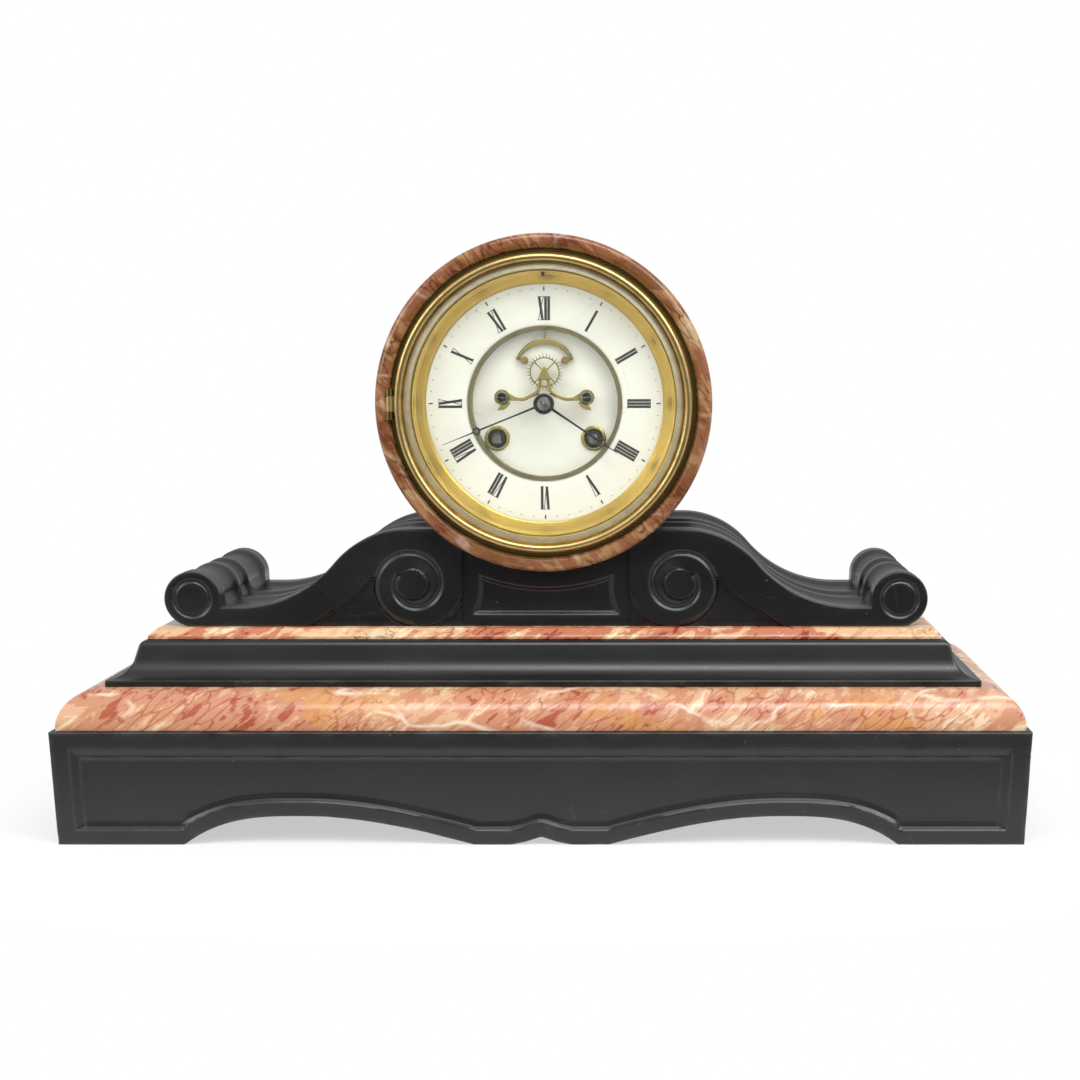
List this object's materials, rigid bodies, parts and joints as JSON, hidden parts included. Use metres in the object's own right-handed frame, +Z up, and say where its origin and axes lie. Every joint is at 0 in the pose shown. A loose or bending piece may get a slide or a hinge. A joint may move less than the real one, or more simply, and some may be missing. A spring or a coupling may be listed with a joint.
{
  "type": "drumhead mantel clock",
  "caption": "Slate and marble mantel clock: drum on a scrolled block and stepped plinth, hinged glazed bezel, enamel dial, visible escapement, pendulum movement and bell.",
  "frame": {"origin": "on the floor, under the middle of the plinth's foot", "axes": "+X to the right seen from the front, the dial faces -Y, +Z up"},
  "size_m": [0.489, 0.168, 0.3045],
  "materials": {
    "black_slate": "honed and waxed",
    "red_marble": "polished",
    "dark_marble": "polished",
    "brass": "polished and aged",
    "glass": "clear, bevelled",
    "enamel": "glazed white",
    "steel": "polished",
    "blued_steel": "darkened",
    "jewel": "polished red stone"
  },
  "bodies": {
    "root": {"plinth_front": "black_slate", "plinth_left_side": "black_slate", "plinth_right_side": "black_slate", "plinth_back": "black_slate", "lower_marble_slab": "red_marble", "slate_moulding": "black_slate", "upper_marble_slab": "red_marble", "scroll_block": "black_slate", "left_scroll": "black_slate", "right_scroll": "black_slate", "drum_body": "black_slate", "drum_front_ring": "dark_marble", "dial_pan": "brass", "hinge_pins": "steel", "gilt_slip": "brass", "chapter_ring": "enamel", "dial_centre": "enamel", "dial_centre_band": "brass", "winding_collets": "brass", "back_ring": "brass", "case_straps": "brass", "front_plate": "brass", "back_plate": "brass", "plate_pillars": "brass", "small_screws": "blued_steel", "mainsprings": "steel", "escape_bridge": "brass", "suspension_cock": "brass", "bell": "brass", "bell_stand": "steel"},
    "glazed_bezel": {"bezel": "brass", "bezel_glass": "glass"},
    "back_door": {"back_door": "brass"},
    "centre_arbor": {"centre_wheel": "brass", "cannon_pinion": "steel", "minute_hand": "blued_steel"},
    "hour_pipe": {"hour_wheel": "brass", "hour_hand": "blued_steel"},
    "motion_wheel": {"minute_wheel": "brass"},
    "intermediate": {"intermediate_wheel": "brass"},
    "going_barrel": {"going_barrel": "brass"},
    "third": {"third_wheel": "brass"},
    "escape": {"escape_wheel": "brass"},
    "anchor": {"anchor": "brass", "pallets": "jewel"},
    "pendulum": {"suspension_spring": "steel", "pendulum_rod": "brass", "pendulum_bob": "brass"},
    "going_winder": {"going_winding_arbor": "steel"},
    "strike_winder": {"strike_winding_arbor": "steel"},
    "going_click": {"going_click": "blued_steel"},
    "strike_click": {"strike_click": "blued_steel"},
    "regulator": {"regulator_arbor": "blued_steel"},
    "pin_wheel": {"pin_wheel": "brass"},
    "strike_second": {"strike_second_wheel": "brass", "count_wheel": "brass"},
    "strike_barrel": {"strike_barrel": "brass"},
    "locking": {"locking_wheel": "brass"},
    "fly": {"fly": "brass"},
    "hammer": {"hammer": "steel"}
  },
  "joints": [
    {"name": "bezel_opens", "type": "hinge", "parent": "root", "child": "glazed_bezel", "pos_m": [-0.0781, -0.0444, 0.2185], "axis": [0, 0, -1], "range_deg": [0, 105]},
    {"name": "back_door_opens", "type": "hinge", "parent": "root", "child": "back_door", "pos_m": [-0.0712, 0.0817, 0.2185], "axis": [0, 0, 1], "range_deg": [0, 110]},
    {"name": "minute_hand_turns", "type": "hinge", "parent": "root", "child": "centre_arbor", "pos_m": [0, 0, 0.2185], "axis": [0, 1, 0], "continuous": true},
    {"name": "hour_hand_turns", "type": "hinge", "parent": "root", "child": "hour_pipe", "pos_m": [0, 0, 0.2185], "axis": [0, 1, 0], "continuous": true},
    {"name": "motion_wheel_turns", "type": "hinge", "parent": "root", "child": "motion_wheel", "pos_m": [0, 0, 0.2065], "axis": [0, 1, 0], "continuous": true},
    {"name": "intermediate_wheel_turns", "type": "hinge", "parent": "root", "child": "intermediate", "pos_m": [0.00344, 0, 0.20291], "axis": [0, 1, 0], "continuous": true},
    {"name": "going_barrel_turns", "type": "hinge", "parent": "root", "child": "going_barrel", "pos_m": [0.0249, 0, 0.2005], "axis": [0, 1, 0], "continuous": true},
    {"name": "third_wheel_turns", "type": "hinge", "parent": "root", "child": "third", "pos_m": [0.01205, 0, 0.22841], "axis": [0, 1, 0], "continuous": true},
    {"name": "escape_wheel_turns", "type": "hinge", "parent": "root", "child": "escape", "pos_m": [0, 0, 0.2345], "axis": [0, 1, 0], "continuous": true},
    {"name": "pendulum_swings", "type": "hinge", "parent": "root", "child": "pendulum", "pos_m": [0, 0, 0.2595], "axis": [0, 1, 0], "range_deg": [-3.5, 3.5]},
    {"name": "anchor_rocks", "type": "hinge", "parent": "root", "child": "anchor", "pos_m": [0, 0, 0.2595], "axis": [0, 1, 0], "range_deg": [-3.5, 3.5]},
    {"name": "going_spring_winds", "type": "hinge", "parent": "root", "child": "going_winder", "pos_m": [0.0249, 0, 0.2005], "axis": [0, 1, 0], "continuous": true},
    {"name": "strike_spring_winds", "type": "hinge", "parent": "root", "child": "strike_winder", "pos_m": [-0.0249, 0, 0.2005], "axis": [0, 1, 0], "continuous": true},
    {"name": "going_click_lifts", "type": "hinge", "parent": "root", "child": "going_click", "pos_m": [0.0374, 0, 0.2095], "axis": [0, 1, 0], "range_deg": [0, 12]},
    {"name": "strike_click_lifts", "type": "hinge", "parent": "root", "child": "strike_click", "pos_m": [-0.0374, 0, 0.2095], "axis": [0, -1, 0], "range_deg": [0, 12]},
    {"name": "regulator_turns", "type": "hinge", "parent": "root", "child": "regulator", "pos_m": [0, 0, 0.2842], "axis": [0, 1, 0], "continuous": true},
    {"name": "pin_wheel_turns", "type": "hinge", "parent": "root", "child": "pin_wheel", "pos_m": [-0.02042, 0, 0.23492], "axis": [0, 1, 0], "continuous": true},
    {"name": "strike_second_wheel_turns", "type": "hinge", "parent": "root", "child": "strike_second", "pos_m": [-0.02701, 0, 0.222], "axis": [0, 1, 0], "continuous": true},
    {"name": "strike_barrel_turns", "type": "hinge", "parent": "root", "child": "strike_barrel", "pos_m": [-0.0249, 0, 0.2005], "axis": [0, 1, 0], "continuous": true},
    {"name": "locking_wheel_turns", "type": "hinge", "parent": "root", "child": "locking", "pos_m": [-0.01279, 0, 0.24402], "axis": [0, 1, 0], "continuous": true},
    {"name": "fly_spins", "type": "hinge", "parent": "root", "child": "fly", "pos_m": [-0.00488, 0, 0.24998], "axis": [0, 1, 0], "continuous": true},
    {"name": "hammer_lifts", "type": "hinge", "parent": "root", "child": "hammer", "pos_m": [-0.0345, 0, 0.246], "axis": [0, -1, 0], "range_deg": [-1.5, 10]}
  ],
  "couplings": [
    {"joint": "hour_hand_turns", "follows": "minute_hand_turns", "ratio": 0.083333},
    {"joint": "motion_wheel_turns", "follows": "minute_hand_turns", "ratio": -0.33333},
    {"joint": "intermediate_wheel_turns", "follows": "minute_hand_turns", "ratio": -0.16667},
    {"joint": "going_barrel_turns", "follows": "minute_hand_turns", "ratio": 0.020833},
    {"joint": "third_wheel_turns", "follows": "minute_hand_turns", "ratio": -12},
    {"joint": "escape_wheel_turns", "follows": "minute_hand_turns", "ratio": 168},
    {"joint": "anchor_rocks", "follows": "pendulum_swings", "ratio": 1},
    {"joint": "strike_second_wheel_turns", "follows": "pin_wheel_turns", "ratio": -0.11111},
    {"joint": "strike_barrel_turns", "follows": "pin_wheel_turns", "ratio": 0.013889},
    {"joint": "locking_wheel_turns", "follows": "pin_wheel_turns", "ratio": -10},
    {"joint": "fly_spins", "follows": "pin_wheel_turns", "ratio": 100}
  ]
}
